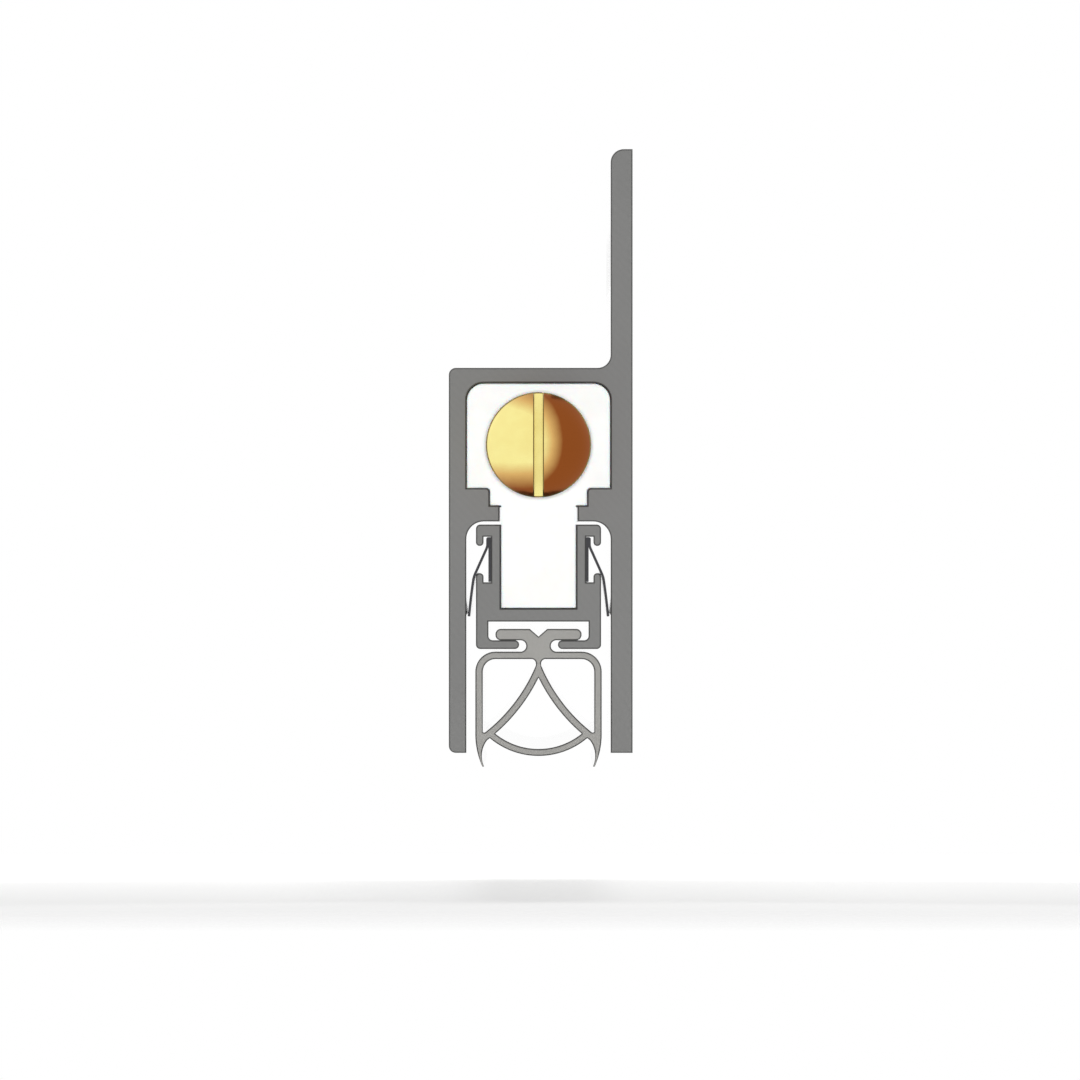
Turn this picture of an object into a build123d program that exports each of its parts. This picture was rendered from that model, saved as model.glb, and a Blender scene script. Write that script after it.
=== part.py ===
from build123d import *
import os
from math import asin, cos, degrees, radians, sin, tan

os.makedirs("parts", exist_ok=True)

# Frame: the door face is the plane x = 0 and the seal lies on its -x side.
# The length runs along y, the plunger is at the -y end, and z = 0 is the casing's lower edge.

# Driving dimensions, millimetres
seal_length = 335.0
overall_width = 21.0
casing_height = 44.0
flange_top = 69.0
seal_drop = 15.0

# Casing extrusion
front_wall = 2.0
back_wall = 2.5
top_wall = 1.7
chamber_height = 12.05
chamber_radius = 1.95
step_height = 2.0
step_ledge = 1.12
neck_height = 1.8
neck_margin = 0.15
skirt_radius = 2.0
outer_radius = 0.8
flange_radius = 1.5
ledge_radius = 0.45
saw_chamfer = 0.15

# Fixing holes, countersunk in the flange
fixing_hole_radius = 2.25
fixing_sink_radius = 3.9
fixing_sink_angle = 90.0
fixing_pitch = 95.0

# Carrier extrusion
carrier_gap = 0.35
side_gap = 1.1
carrier_height = 14.23
carrier_radius = 0.5
channel_depth = 9.6
web_thickness = 1.5
groove_depth = 1.72
groove_wall = 1.1
hook_thickness = 0.87
groove_top_wall = 1.4
groove_height = 5.2
hook_upper_reach = 1.05
hook_lower_reach = 1.04
slot_side_wall = 1.43
lip_thickness = 1.0
lip_reach = 3.5

# Gasket extrusion
head_margin = 0.8
head_thickness = 1.3
head_radius = 0.61
notch_half_width = 1.0
notch_depth = 0.88
stem_half_width = 1.4
bulb_gap = 0.3
bulb_side_gap = 1.03
bulb_wall = 0.85
bulb_radius = 2.3
bulb_height = 9.54
rib_apex_drop = 1.77
rib_apex_overlap = 0.07
rib_middle_inset = 5.22
rib_middle_drop = 5.52
rib_foot_inset = 1.02
rib_foot_drop = 0.3
rib_neck_half_width = 0.3
rib_neck_radius = 0.5
bow_inset = 1.86
bow_drop = 1.98
bow_wall = 0.8
lip_root = 0.4
lip_length = 3.6
lip_curl = 0.8
lip_belly = 0.16
lip_belly_share = 0.44
lip_tip = 0.2
lip_inset = 1.59
lip_notch = 0.3
root_overlap = 0.2

# Side fins
fin_thickness = 0.3
fin_seat_clearance = 0.04
fin_bend_depth = 1.06
fin_fold_overlap = 0.05
fin_hook_clearance = 0.08
fin_wall_gap = 0.15
fin_bow = 0.03
fin_length = 8.0

# Plunger and push rod
rod_radius = 3.0
rod_rise = 4.95
rod_thread_radius = 2.5
thread_clearance = 0.05
knob_diameter = 12.0
knob_length = 16.0
knob_protrusion = 10.0
knob_dome = 3.4
knob_rim_chamfer = 0.5
knob_bore_depth = 11.0
knob_bore_gap = 0.5
knob_slot_width = 1.0
knob_slot_depth = 4.1
knob_slot_chamfer = 0.1
rod_end_chamfer = 0.5
rod_tail = 10.0
rod_clearance = 0.3

# Blocks that hold and move the rod
block_seat_gap = 0.05
slide_clearance = 0.3
stem_clearance = 0.06
tongue_floor_gap = 0.06
guide_length = 14.0
knob_stop_gap = 1.0
unit_gap = 3.0
moving_front = 8.0
moving_back = 5.0
fixed_length = 14.0
tail_space = 14.0

# Strut, its pins and its bracket
strut_length = 34.0
strut_thickness = 3.0
strut_eye_radius = 2.5
strut_pin_radius = 1.5
strut_rise = 8.2
strut_pin_fit = 0.05
strut_slot_clearance = 0.15
strut_slot_length = 1.2
strut_side_gap = 0.3
strut_back_gap = 0.4
upper_pin_drop = 6.25
stem_floor_gap = 0.2
bracket_front = 4.0
bracket_web = 4.0
bracket_height = 7.0
bracket_seat_gap = 0.05
leaf_seat = 5.5
rivet_radius = 1.2
rivet_head_radius = 2.2
rivet_length = 4.2
rivet_sink_angle = 100.0
pin_end_gap = 0.1
rod_pin_radius = 1.25
rod_pin_wall = 0.45
rod_pin_offset = 4.5
rod_pin_end_gap = 0.5

# Leaf spring and its screws
leaf_thickness = 0.3
leaf_width = 6.0
leaf_free = 50.0
leaf_seat_height = 3.5
leaf_end_gap = 0.3
leaf_corner_radius = 1.0
leaf_screw_radius = 1.1
leaf_screw_head_radius = 2.2
leaf_screw_head_height = 1.4
leaf_screw_length = 2.6

# Block screws, collar and return spring
block_screw_radius = 1.8
block_screw_head_radius = 3.1
block_screw_length = 4.6
driver_slot_width = 0.8
driver_slot_depth = 0.7
collar_radius = 5.5
collar_length = 5.0
collar_screw_radius = 1.5
collar_screw_sink = 0.3
collar_chamfer = 0.4
spring_length = 28.0
spring_wire_radius = 0.4
spring_radius = 4.2
spring_turns = 8
spring_end_gap = 0.1

# Heights and places that follow from the sizes above
half_length = seal_length / 2
chamber_width = overall_width - front_wall - back_wall
half_chamber = chamber_width / 2
centre_x = -back_wall - half_chamber
chamber_top = casing_height - top_wall
ledge_top = chamber_top - chamber_height
step_floor = ledge_top - step_height
ledge_underside = step_floor - neck_height
half_carrier = half_chamber - side_gap
half_channel = half_carrier - groove_depth - groove_wall
half_neck = half_channel + neck_margin
half_step = half_neck + step_ledge
carrier_top = ledge_underside - carrier_gap
carrier_bottom = carrier_top - carrier_height
channel_floor = carrier_top - channel_depth
web_bottom = channel_floor - web_thickness
groove_top = carrier_top - groove_top_wall
groove_bottom = groove_top - groove_height
slot_floor = carrier_bottom + lip_thickness
half_slot = half_carrier - slot_side_wall
rod_height = ledge_top + rod_rise
rod_bore = rod_radius + rod_clearance

plunger_end = -half_length
knob_front = plunger_end - knob_protrusion
knob_back = knob_front + knob_length
strut_angle = asin(strut_rise / strut_length)
strut_angle_dropped = asin((strut_rise + seal_drop) / strut_length)
strut_run = strut_length * cos(strut_angle)
plunger_stroke = strut_run - strut_length * cos(strut_angle_dropped)
strut_room = strut_eye_radius + strut_slot_length + strut_back_gap
bracket_back = strut_room + bracket_web + leaf_seat
guide_front = knob_back + plunger_stroke + knob_stop_gap
first_unit_front = guide_front + guide_length + unit_gap
unit_length = moving_front + strut_run + bracket_back + leaf_free + fixed_length
second_unit_front = half_length - tail_space - unit_length
upper_pin_height = rod_height - upper_pin_drop
lower_pin_height = upper_pin_height - strut_rise
stem_bottom = ledge_underside + stem_floor_gap
half_stem = half_channel - stem_clearance
half_fork = strut_thickness / 2 + strut_side_gap
leaf_bottom = channel_floor + leaf_seat_height
leaf_top = leaf_bottom + leaf_thickness
tongue_bottom = channel_floor + tongue_floor_gap
upper_pins = [front + moving_front for front in (first_unit_front, second_unit_front)]
fixed_fronts = [pin + strut_run + bracket_back + leaf_free for pin in upper_pins]
rivet_places = [pin + strut_run + strut_room + bracket_web / 2 for pin in upper_pins]
block_screws = [guide_front + guide_length / 2] + [front + fixed_length / 2 for front in fixed_fronts]


hanging = (Align.CENTER, Align.CENTER, Align.MAX)
standing = (Align.CENTER, Align.CENTER, Align.MIN)


def section(y):
    """Plane across the seal at y: local x from the seal's centre line, local y as height."""
    return Plane(origin=(centre_x, y, 0), x_dir=(1, 0, 0), z_dir=(0, -1, 0))


def corners(sketch, *points):
    """The corners of a section that lie at the given points."""
    return [sketch.vertices().sort_by_distance((x, z, 0))[0] for x, z in points]


def both_sides(x, z):
    """A point of a section and its mirror image across the centre line."""
    return (-x, z), (x, z)


def span(left, right, bottom, top, mode=Mode.ADD):
    """Rectangle of a section between two widths and two heights."""
    with Locations(((left + right) / 2, (bottom + top) / 2)):
        Rectangle(right - left, top - bottom, mode=mode)


def end_radius(thickness):
    """Radius that rounds an end of this thickness almost to a half circle."""
    return 0.49 * thickness


def side_view(y=0, z=0):
    """Plane along the seal's centre line: local x runs with y, local y is height."""
    return Plane(origin=(centre_x, y, z), x_dir=(0, 1, 0), z_dir=(1, 0, 0))


def save(built, name):
    """Label a finished piece and write its file."""
    built.part.label = name
    export_step(built.part, f"parts/{name}.step")


# Casing: one extrusion with two inner ledges, and the fixing flange above its back wall
with BuildPart() as casing:
    with BuildSketch(section(half_length)) as casing_profile:
        span(-half_chamber - front_wall, half_chamber + back_wall, 0, casing_height)
        span(half_chamber, half_chamber + back_wall, 0, flange_top)
        span(-half_chamber, half_chamber, ledge_top, chamber_top, Mode.SUBTRACT)
        span(-half_step, half_step, step_floor, ledge_top, Mode.SUBTRACT)
        span(-half_neck, half_neck, ledge_underside, step_floor, Mode.SUBTRACT)
        span(-half_chamber, half_chamber, 0, ledge_underside, Mode.SUBTRACT)
        fillet(corners(casing_profile, *both_sides(half_chamber, chamber_top)), chamber_radius)
        fillet(corners(casing_profile, *both_sides(half_chamber, ledge_underside)), skirt_radius)
        fillet(corners(casing_profile, *both_sides(half_step, ledge_top)), ledge_radius)
        front_edge = -half_chamber - front_wall
        fillet(corners(casing_profile, (front_edge, casing_height), (front_edge, 0)), outer_radius)
        flange_corners = corners(casing_profile, (half_chamber, casing_height), (half_chamber, flange_top))
        fillet(flange_corners, flange_radius)
    extrude(amount=seal_length)
    chamfer(casing.faces().sort_by(Axis.Y)[0].edges(), saw_chamfer)
    chamfer(casing.faces().sort_by(Axis.Y)[-1].edges(), saw_chamfer)
    flange_front = Plane(
        origin=(-back_wall, 0, (casing_height + flange_top) / 2), x_dir=(0, 1, 0), z_dir=(-1, 0, 0)
    )
    with Locations(flange_front):
        with GridLocations(fixing_pitch, 1, 4, 1):
            CounterSinkHole(fixing_hole_radius, fixing_sink_radius, counter_sink_angle=fixing_sink_angle)
    with Locations([Plane((centre_x, y, casing_height)) for y in block_screws]):
        CounterSinkHole(
            block_screw_radius, block_screw_head_radius, top_wall, counter_sink_angle=fixing_sink_angle
        )
save(casing, "casing")

# Carrier: one extrusion with an open channel above, a T slot below and a groove in each flank
with BuildPart() as carrier:
    with BuildSketch(section(half_length)) as carrier_profile:
        span(-half_carrier, half_carrier, carrier_bottom, carrier_top)
        span(-half_channel, half_channel, channel_floor, carrier_top, Mode.SUBTRACT)
        span(-half_slot, half_slot, slot_floor, web_bottom, Mode.SUBTRACT)
        half_mouth = half_slot - lip_reach
        span(-half_mouth, half_mouth, carrier_bottom, slot_floor, Mode.SUBTRACT)
        groove_inner = half_carrier - groove_depth
        hook_inner = half_carrier - hook_thickness
        mouth_bottom = groove_bottom + hook_lower_reach
        mouth_top = groove_top - hook_upper_reach
        for left, right in ((-hook_inner, -groove_inner), (groove_inner, hook_inner)):
            span(left, right, groove_bottom, groove_top, Mode.SUBTRACT)
        for left, right in ((-half_carrier, -hook_inner), (hook_inner, half_carrier)):
            span(left, right, mouth_bottom, mouth_top, Mode.SUBTRACT)
        outer_corners = [
            *both_sides(half_carrier, carrier_top),
            *both_sides(half_carrier, carrier_bottom),
            *both_sides(half_slot, slot_floor),
        ]
        fillet(corners(carrier_profile, *outer_corners), carrier_radius)
        lip_ends = [*both_sides(half_mouth, carrier_bottom), *both_sides(half_mouth, slot_floor)]
        fillet(corners(carrier_profile, *lip_ends), end_radius(lip_thickness))
        hook_ends = [
            *both_sides(half_carrier, mouth_bottom),
            *both_sides(half_carrier, mouth_top),
            *both_sides(hook_inner, mouth_bottom),
            *both_sides(hook_inner, mouth_top),
        ]
        fillet(corners(carrier_profile, *hook_ends), end_radius(hook_thickness))
    extrude(amount=seal_length)
    chamfer(carrier.faces().sort_by(Axis.Y)[0].edges(), saw_chamfer)
    chamfer(carrier.faces().sort_by(Axis.Y)[-1].edges(), saw_chamfer)
    with Locations([Plane(origin=(centre_x, y, web_bottom), z_dir=(0, 0, -1)) for y in rivet_places]):
        CounterSinkHole(rivet_radius, rivet_head_radius, web_thickness, counter_sink_angle=rivet_sink_angle)
save(carrier, "carrier")

# Gasket: a notched T head, a waist, and a hollow bulb with two ribs, a bottom bow and two lips
bulb_top = carrier_bottom - bulb_gap
half_bulb = half_chamber - bulb_side_gap
bulb_foot = bulb_top - bulb_height
half_bulb_inner = half_bulb - bulb_wall
lip_bottom = bulb_foot - lip_length
belly_height = bulb_foot - lip_belly_share * lip_length
with BuildPart() as gasket:
    with BuildSketch(section(half_length)) as gasket_profile:
        span(-half_bulb, half_bulb, bulb_foot, bulb_top)
        fillet(corners(gasket_profile, *both_sides(half_bulb, bulb_top)), bulb_radius)
        cavity_height = bulb_height + bulb_radius
        with Locations((0, bulb_top - bulb_wall - cavity_height / 2)):
            cavity_radius = bulb_radius - bulb_wall
            RectangleRounded(2 * half_bulb_inner, cavity_height, cavity_radius, mode=Mode.SUBTRACT)
        head_top = slot_floor + head_thickness
        half_head = half_slot - head_margin
        span(-half_head, half_head, slot_floor, head_top)
        head_corners = [*both_sides(half_head, slot_floor), *both_sides(half_head, head_top)]
        fillet(corners(gasket_profile, *head_corners), head_radius)
        with BuildLine():
            Polyline(
                (-notch_half_width, head_top),
                (0, head_top - notch_depth),
                (notch_half_width, head_top),
                close=True,
            )
        make_face(mode=Mode.SUBTRACT)
        waist_radius = (slot_floor - bulb_top) / 2
        half_waist = stem_half_width + waist_radius
        span(-half_waist, half_waist, bulb_top - root_overlap, slot_floor + root_overlap)
        for side in (-1, 1):
            with Locations((side * half_waist, (slot_floor + bulb_top) / 2)):
                Circle(waist_radius, mode=Mode.SUBTRACT)
        span(-rib_neck_half_width, rib_neck_half_width, bulb_top - rib_apex_drop, bulb_top - bulb_wall)
        neck_corners = both_sides(rib_neck_half_width, bulb_top - bulb_wall)
        fillet(corners(gasket_profile, *neck_corners), rib_neck_radius)
        for side in (-1, 1):
            with BuildLine():
                ThreePointArc(
                    (-side * rib_apex_overlap, bulb_top - rib_apex_drop),
                    (side * (half_bulb - rib_middle_inset), bulb_top - rib_middle_drop),
                    (side * (half_bulb - rib_foot_inset), bulb_foot - rib_foot_drop),
                )
            trace(line_width=bulb_wall)
            with BuildLine():
                lip_outside = ThreePointArc(
                    (side * half_bulb, bulb_foot + lip_root),
                    (side * (half_bulb - lip_belly), belly_height),
                    (side * (half_bulb - lip_curl), lip_bottom),
                )
                lip_end = Line(lip_outside @ 1, (side * (half_bulb - lip_curl - lip_tip), lip_bottom))
                lip_inside = ThreePointArc(
                    lip_end @ 1,
                    (side * half_bulb_inner, belly_height),
                    (side * (half_bulb - lip_inset), bulb_foot - lip_notch),
                )
                wedge_x = half_bulb - bow_inset - root_overlap
                root = Line(lip_inside @ 1, (side * wedge_x, bulb_foot + root_overlap))
                Line(root @ 1, lip_outside @ 0)
            make_face()
        half_bow = half_bulb - bow_inset
        with BuildLine():
            ThreePointArc((-half_bow, bulb_foot), (0, bulb_foot - bow_drop), (half_bow, bulb_foot))
        trace(line_width=bow_wall)
    extrude(amount=seal_length)
save(gasket, "gasket")

# Side fins: a thin strip in each groove, folded at its top into a leaf that leans to the casing wall
fin_top = groove_top - fin_seat_clearance
fin_tip = half_chamber - fin_wall_gap - fin_thickness / 2
hook_pass = half_carrier + fin_hook_clearance + fin_thickness / 2
for side, fin_name in ((-1, "fin_left"), (1, "fin_right")):
    with BuildPart() as fin:
        with BuildSketch(section(half_length)) as fin_profile:
            near, far = groove_inner, groove_inner + fin_thickness
            left, right = sorted((side * near, side * far))
            span(left, right, groove_bottom + fin_seat_clearance, fin_top)
            bend_height = fin_top - fin_bend_depth
            fold_x = far + fin_thickness / 2 - fin_fold_overlap
            hook_height = mouth_bottom - end_radius(hook_thickness)
            tip_height = bend_height - fin_length
            with BuildLine():
                Polyline(
                    (side * (near + fin_thickness / 2), fin_top - fin_thickness / 2),
                    (side * fold_x, fin_top - fin_thickness / 2),
                    (side * fold_x, bend_height),
                    (side * hook_pass, hook_height),
                )
                ThreePointArc(
                    (side * hook_pass, hook_height),
                    (side * ((hook_pass + fin_tip) / 2 + fin_bow), (hook_height + tip_height) / 2),
                    (side * fin_tip, tip_height),
                )
            trace(line_width=fin_thickness)
            with Locations((side * fold_x, bend_height), (side * hook_pass, hook_height)):
                Circle(fin_thickness / 2)
        extrude(amount=seal_length)
    save(fin, fin_name)

# Plunger knob: a domed head with a driver slot right across it, screwed on the rod's end
knob_radius = knob_diameter / 2
rod_axis = Axis((centre_x, 0, rod_height), (0, 1, 0))
dome_radius = (knob_radius**2 + knob_dome**2) / (2 * knob_dome)
dome_half_angle = asin(knob_radius / dome_radius) / 2
dome_middle = (dome_radius * sin(dome_half_angle), dome_radius * (1 - cos(dome_half_angle)))
with BuildPart() as plunger_knob:
    with BuildSketch(Plane((centre_x, knob_front, rod_height))):
        with BuildLine():
            ThreePointArc((0, 0), dome_middle, (knob_radius, knob_dome))
            Polyline(
                (knob_radius, knob_dome),
                (knob_radius, knob_length - knob_rim_chamfer),
                (knob_radius - knob_rim_chamfer, knob_length),
                (0, knob_length),
                (0, 0),
            )
        make_face()
    revolve(axis=rod_axis)
    with BuildSketch(Plane((centre_x, knob_front + knob_slot_depth / 2, rod_height))):
        Rectangle(knob_slot_width, knob_slot_depth)
    extrude(amount=knob_diameter, both=True, mode=Mode.SUBTRACT)
    for side in (-1, 1):
        slot_rim = (centre_x + side * knob_slot_width / 2, knob_front, rod_height)
        chamfer(plunger_knob.edges().sort_by_distance(slot_rim)[0], knob_slot_chamfer)
    with BuildSketch(section(knob_back)):
        with Locations((0, rod_height)):
            Circle(rod_thread_radius + thread_clearance)
    extrude(amount=knob_bore_depth, mode=Mode.SUBTRACT)
save(plunger_knob, "plunger_knob")

# Push rod: full length, turned down where the knob sits, with a cross hole for each moving block
rod_shoulder = knob_back + thread_clearance
rod_front = knob_back - knob_bore_depth + knob_bore_gap
rod_back = half_length - rod_tail
rod_pins = [pin - rod_pin_offset for pin in upper_pins]
with BuildPart() as push_rod:
    with BuildSketch(section(rod_back)):
        with Locations((0, rod_height)):
            Circle(rod_radius)
    extrude(amount=rod_back - rod_shoulder)
    with BuildSketch(section(rod_shoulder)):
        with Locations((0, rod_height)):
            Circle(rod_thread_radius)
    extrude(amount=rod_shoulder - rod_front)
    rod_ends = [push_rod.faces().sort_by(Axis.Y)[0].edges(), push_rod.faces().sort_by(Axis.Y)[-1].edges()]
    chamfer(rod_ends, rod_end_chamfer)
    for y in rod_pins:
        with BuildSketch(side_view(y, rod_height)):
            Circle(rod_pin_radius)
        extrude(amount=rod_radius, both=True, mode=Mode.SUBTRACT)
save(push_rod, "push_rod")

def block(front, length, gap, stem_floor):
    """Nylon block on the rod: its body fills the chamber but for a gap, its stem goes down the neck.

    Between the two, its foot fills the step between the ledges in the same way.
    """
    with BuildSketch(section(front + length)) as profile:
        top = chamber_top - gap
        half_body = half_chamber - gap
        span(-half_body, half_body, ledge_top + gap, top)
        fillet(corners(profile, *both_sides(half_body, top)), chamber_radius)
        half_foot = half_step - gap
        span(-half_foot, half_foot, step_floor + gap, ledge_top + gap)
        fillet(corners(profile, *both_sides(half_foot, ledge_top + gap)), ledge_radius)
        span(-half_stem, half_stem, stem_floor, ledge_top + gap)
    extrude(profile.sketch, amount=length)


def rod_hole(front, length, radius):
    """Hole along the rod's axis."""
    with Locations(Plane(origin=(centre_x, front, rod_height), z_dir=(0, 1, 0))):
        Cylinder(radius, length, align=standing, mode=Mode.SUBTRACT)


def cross_hole(y, z, radius):
    """Hole right across the seal."""
    with Locations(side_view(y, z)):
        Cylinder(radius, chamber_width, mode=Mode.SUBTRACT)


def cross_pin(y, z, radius, half_width):
    """Round pin across the seal."""
    with Locations(side_view(y, z)):
        Cylinder(radius, 2 * half_width)


def countersunk(place, head_radius, shank_radius, angle, length):
    """Flush head in the given plane, and its shank behind it."""
    head_height = (head_radius - shank_radius) / tan(radians(angle / 2))
    with Locations(place):
        Cone(shank_radius, head_radius, head_height, align=hanging)
        Cylinder(shank_radius, length, align=hanging)


def cheese_head(place, head_radius, head_height, shank_radius, length):
    """Cylindrical head that stands on the given plane, and its shank behind the plane."""
    with Locations(place):
        Cylinder(head_radius, head_height, align=standing)
        Cylinder(shank_radius, length, align=hanging)


def driver_slot(place, head_radius):
    """Straight slot across a screw head whose face lies in the given plane."""
    with Locations(place):
        Box(driver_slot_width, 2 * head_radius, driver_slot_depth, align=hanging, mode=Mode.SUBTRACT)


def pilot(place, radius, depth):
    """Blind hole behind the given plane."""
    with Locations(place):
        Cylinder(radius, depth, align=hanging, mode=Mode.SUBTRACT)


def block_screw(y, name):
    """Countersunk screw that holds a block to the casing's top."""
    place = Plane((centre_x, y, casing_height))
    with BuildPart() as screw:
        countersunk(
            place, block_screw_head_radius, block_screw_radius, fixing_sink_angle, block_screw_length
        )
        driver_slot(place, block_screw_head_radius)
    save(screw, name)


# Guide block: it closes the chamber behind the knob, and its stem guides the carrier's channel
with BuildPart() as guide_block:
    block(guide_front, guide_length, block_seat_gap, tongue_bottom)
    rod_hole(guide_front, guide_length, rod_bore)
    pilot(Plane((centre_x, block_screws[0], casing_height)), block_screw_radius, block_screw_length)
save(guide_block, "guide_block")
block_screw(block_screws[0], "guide_block_screw")

# Lifting units, one towards each end
for unit, pin_y in enumerate(upper_pins, start=1):
    foot_y = pin_y + strut_run
    seat_y = foot_y + strut_room + bracket_web
    fixed_y = fixed_fronts[unit - 1]
    front_screw_y = seat_y + leaf_seat / 2
    rear_screw_y = fixed_y + leaf_seat / 2

    # Moving block: it slides on the ledges, and its stem is forked for the strut
    with BuildPart() as moving_block:
        block(pin_y - moving_front, moving_front + moving_back, slide_clearance, stem_bottom)
        rod_hole(pin_y - moving_front, moving_front + moving_back, rod_radius)
        with BuildSketch(side_view()):
            fork_reach = strut_eye_radius + strut_side_gap
            span(pin_y - fork_reach, pin_y + moving_back, stem_bottom, upper_pin_height + fork_reach)
        extrude(amount=half_fork, both=True, mode=Mode.SUBTRACT)
        cross_hole(pin_y, upper_pin_height, strut_pin_radius)
        cross_hole(pin_y - rod_pin_offset, rod_height, rod_pin_radius)
    save(moving_block, f"moving_block_{unit}")

    # Spring pin: a rolled tube through the moving block and the rod
    with BuildPart() as rod_pin:
        cross_pin(pin_y - rod_pin_offset, rod_height, rod_pin_radius, half_chamber - rod_pin_end_gap)
        cross_hole(pin_y - rod_pin_offset, rod_height, rod_pin_radius - rod_pin_wall)
    save(rod_pin, f"rod_spring_pin_{unit}")

    # Strut: a flat bar, round at both ends, whose lower eye is a slot along the bar
    with BuildPart() as strut:
        strut_direction = (0, cos(strut_angle), -sin(strut_angle))
        along = Plane((centre_x, pin_y, upper_pin_height), x_dir=strut_direction, z_dir=(1, 0, 0))
        with BuildSketch(along):
            with Locations((strut_length / 2, 0)):
                SlotCenterToCenter(strut_length, 2 * strut_eye_radius)
            Circle(strut_pin_radius + strut_pin_fit, mode=Mode.SUBTRACT)
            with Locations((strut_length - strut_slot_length / 2, 0)):
                slot_width = 2 * (strut_pin_radius + strut_slot_clearance)
                SlotCenterToCenter(strut_slot_length, slot_width, mode=Mode.SUBTRACT)
        extrude(amount=strut_thickness / 2, both=True)
    save(strut, f"strut_{unit}")

    with BuildPart() as upper_pin:
        cross_pin(pin_y, upper_pin_height, strut_pin_radius, half_stem - pin_end_gap)
    save(upper_pin, f"strut_upper_pin_{unit}")

    with BuildPart() as lower_pin:
        cross_pin(foot_y, lower_pin_height, strut_pin_radius, half_channel - pin_end_gap)
    save(lower_pin, f"strut_lower_pin_{unit}")

    # Lift bracket: it stands in the carrier's channel, forked for the strut, with a seat for the leaf
    bracket_top = channel_floor + bracket_height
    rivet_place = Plane(origin=(centre_x, rivet_places[unit - 1], web_bottom), z_dir=(0, 0, -1))
    with BuildPart() as lift_bracket:
        with BuildSketch(side_view()):
            span(foot_y - bracket_front, seat_y, channel_floor, bracket_top)
            span(seat_y, seat_y + leaf_seat, channel_floor, leaf_bottom)
        extrude(amount=half_channel - bracket_seat_gap, both=True)
        with BuildSketch(side_view()):
            span(foot_y - bracket_front, foot_y + strut_room, channel_floor, bracket_top)
        extrude(amount=half_fork, both=True, mode=Mode.SUBTRACT)
        cross_hole(foot_y, lower_pin_height, strut_pin_radius)
        pilot(Plane((centre_x, front_screw_y, leaf_bottom)), leaf_screw_radius, leaf_screw_length)
        pilot(rivet_place, rivet_radius, rivet_length)
    save(lift_bracket, f"lift_bracket_{unit}")

    with BuildPart() as bracket_rivet:
        countersunk(rivet_place, rivet_head_radius, rivet_radius, rivet_sink_angle, rivet_length)
    save(bracket_rivet, f"bracket_rivet_{unit}")

    # Fixed block: like the guide block, cut away below its front for the leaf spring's end
    with BuildPart() as fixed_block:
        block(fixed_y, fixed_length, block_seat_gap, tongue_bottom)
        rod_hole(fixed_y, fixed_length, rod_bore)
        with BuildSketch(side_view()):
            span(fixed_y, fixed_y + leaf_seat, tongue_bottom, leaf_top)
        extrude(amount=half_stem, both=True, mode=Mode.SUBTRACT)
        pilot(Plane((centre_x, block_screws[unit], casing_height)), block_screw_radius, block_screw_length)
        rear_seat = Plane(origin=(centre_x, rear_screw_y, leaf_top), z_dir=(0, 0, -1))
        pilot(rear_seat, leaf_screw_radius, leaf_screw_length - leaf_thickness)
    save(fixed_block, f"fixed_block_{unit}")
    block_screw(block_screws[unit], f"fixed_block_screw_{unit}")

    # Leaf spring: a flat strip, screwed down on the bracket and up under the fixed block
    with BuildPart() as leaf_spring:
        with BuildSketch(Plane((centre_x, 0, leaf_bottom))) as leaf_outline:
            leaf_front = seat_y + leaf_end_gap
            leaf_back = fixed_y + leaf_seat - leaf_end_gap
            span(-leaf_width / 2, leaf_width / 2, leaf_front, leaf_back)
            fillet(leaf_outline.vertices(), leaf_corner_radius)
            with Locations((0, front_screw_y), (0, rear_screw_y)):
                Circle(leaf_screw_radius, mode=Mode.SUBTRACT)
        extrude(amount=leaf_thickness)
    save(leaf_spring, f"leaf_spring_{unit}")

    front_head = Plane((centre_x, front_screw_y, leaf_top))
    rear_head = Plane(origin=(centre_x, rear_screw_y, leaf_bottom), z_dir=(0, 0, -1))
    for head_plane, name in ((front_head, "leaf_front_screw"), (rear_head, "leaf_rear_screw")):
        with BuildPart() as leaf_screw:
            cheese_head(
                head_plane,
                leaf_screw_head_radius,
                leaf_screw_head_height,
                leaf_screw_radius,
                leaf_screw_length,
            )
            driver_slot(head_plane.offset(leaf_screw_head_height), leaf_screw_head_radius)
        save(leaf_screw, f"{name}_{unit}")

    # Spring collar: a ring on the rod, held by a grub screw
    collar_y = fixed_y - spring_length - collar_length
    collar_top = Plane((centre_x, collar_y + collar_length / 2, rod_height + collar_radius))
    with BuildPart() as spring_collar:
        with BuildSketch(section(collar_y + collar_length)):
            with Locations((0, rod_height)):
                Circle(collar_radius)
        extrude(amount=collar_length)
        front_rim = spring_collar.faces().sort_by(Axis.Y)[0].edges()
        back_rim = spring_collar.faces().sort_by(Axis.Y)[-1].edges()
        chamfer([*front_rim, *back_rim], collar_chamfer)
        rod_hole(collar_y, collar_length, rod_radius)
        pilot(collar_top, collar_screw_radius, collar_radius)
    save(spring_collar, f"spring_collar_{unit}")

    with BuildPart() as collar_screw:
        screw_top = collar_top.offset(-collar_screw_sink)
        screw_reach = collar_radius - rod_radius - collar_screw_sink
        with Locations(screw_top):
            Cylinder(collar_screw_radius, screw_reach, align=hanging)
        driver_slot(screw_top, collar_screw_radius)
    save(collar_screw, f"collar_screw_{unit}")

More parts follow.
